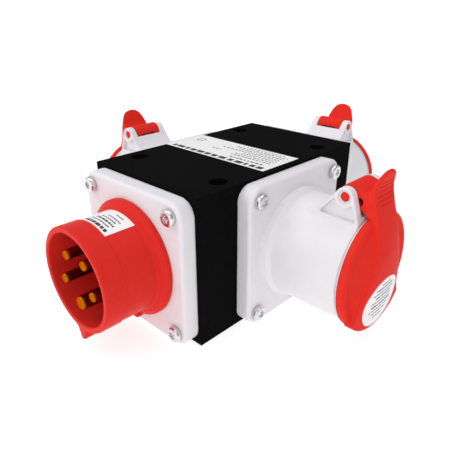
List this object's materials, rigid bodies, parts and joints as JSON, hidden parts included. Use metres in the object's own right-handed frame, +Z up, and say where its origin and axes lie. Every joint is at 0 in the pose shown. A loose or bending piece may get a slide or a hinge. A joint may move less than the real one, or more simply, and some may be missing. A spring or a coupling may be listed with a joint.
{
  "type": "portable power distribution box",
  "caption": "Black moulded power distribution box with a five-pole inlet plug at one end and spring-lidded five-pole sockets on the other sides.",
  "frame": {"origin": "centre of the flat underside that the box stands on", "axes": "+Z up; -Y out of the inlet plug, +Y out of the socket at the opposite end, +X and -X out of the side sockets"},
  "size_m": [0.2002, 0.2275, 0.0887],
  "materials": {
    "box_black": "fine-grained moulded black plastic",
    "flange_white": "satin moulded white plastic",
    "plug_red": "glossy moulded red plastic",
    "lid_red": "glossy moulded red plastic",
    "carrier_dark": "moulded dark grey contact carrier",
    "pin_brass": "polished turned brass",
    "conductor_brass": "drawn brass bar and contact sleeves",
    "screw_steel": "bright zinc-plated steel",
    "spring_steel": "drawn spring wire",
    "seal_rubber": "soft light grey elastomer",
    "label_paper": "printed film label",
    "holder_nylon": "natural nylon"
  },
  "bodies": {
    "box": {"box_housing": "box_black", "base_plate": "box_black", "rating_label": "label_paper", "housing_screw_1": "screw_steel", "housing_screw_2": "screw_steel", "housing_screw_3": "screw_steel", "housing_screw_4": "screw_steel", "busbar_holder": "holder_nylon", "conductor_L1": "conductor_brass", "conductor_L2": "conductor_brass", "conductor_L3": "conductor_brass", "conductor_N": "conductor_brass", "conductor_PE": "conductor_brass", "plug_flange": "flange_white", "plug_shroud": "plug_red", "plug_pin_carrier": "plug_red", "plug_pin_L1": "pin_brass", "plug_pin_L2": "pin_brass", "plug_pin_L3": "pin_brass", "plug_pin_N": "pin_brass", "plug_pin_PE": "pin_brass", "plug_gasket": "seal_rubber", "plug_flange_screw_1": "screw_steel", "plug_flange_screw_2": "screw_steel", "plug_flange_screw_3": "screw_steel", "plug_flange_screw_4": "screw_steel", "plug_label": "label_paper", "socket_right_housing": "flange_white", "socket_right_insert": "carrier_dark", "socket_right_gasket": "seal_rubber", "socket_right_flange_screw_1": "screw_steel", "socket_right_flange_screw_2": "screw_steel", "socket_right_flange_screw_3": "screw_steel", "socket_right_flange_screw_4": "screw_steel", "socket_right_hinge_pin": "plug_red", "socket_right_spring": "spring_steel", "socket_back_housing": "flange_white", "socket_back_insert": "carrier_dark", "socket_back_gasket": "seal_rubber", "socket_back_flange_screw_1": "screw_steel", "socket_back_flange_screw_2": "screw_steel", "socket_back_flange_screw_3": "screw_steel", "socket_back_flange_screw_4": "screw_steel", "socket_back_hinge_pin": "plug_red", "socket_back_spring": "spring_steel", "socket_left_housing": "flange_white", "socket_left_insert": "carrier_dark", "socket_left_gasket": "seal_rubber", "socket_left_flange_screw_1": "screw_steel", "socket_left_flange_screw_2": "screw_steel", "socket_left_flange_screw_3": "screw_steel", "socket_left_flange_screw_4": "screw_steel", "socket_left_hinge_pin": "plug_red", "socket_left_spring": "spring_steel"},
    "right_lid": {"socket_right_lid": "lid_red", "socket_right_lid_seal": "seal_rubber"},
    "back_lid": {"socket_back_lid": "lid_red", "socket_back_lid_seal": "seal_rubber"},
    "left_lid": {"socket_left_lid": "lid_red", "socket_left_lid_seal": "seal_rubber"}
  },
  "joints": [
    {"name": "right_lid_hinge", "type": "hinge", "parent": "box", "child": "right_lid", "pos_m": [0.0807, 0, 0.0761], "axis": [0, -1, 0], "range_deg": [0, 110], "stiffness_Nm_per_rad": 0.02, "springref_deg": -51.57, "deforming": ["socket_right_spring"]},
    {"name": "back_lid_hinge", "type": "hinge", "parent": "box", "child": "back_lid", "pos_m": [0, 0.1042, 0.0761], "axis": [1, 0, 0], "range_deg": [0, 110], "stiffness_Nm_per_rad": 0.02, "springref_deg": -51.57, "deforming": ["socket_back_spring"]},
    {"name": "left_lid_hinge", "type": "hinge", "parent": "box", "child": "left_lid", "pos_m": [-0.0807, 0, 0.0761], "axis": [0, 1, 0], "range_deg": [0, 110], "stiffness_Nm_per_rad": 0.02, "springref_deg": -51.57, "deforming": ["socket_left_spring"]}
  ]
}
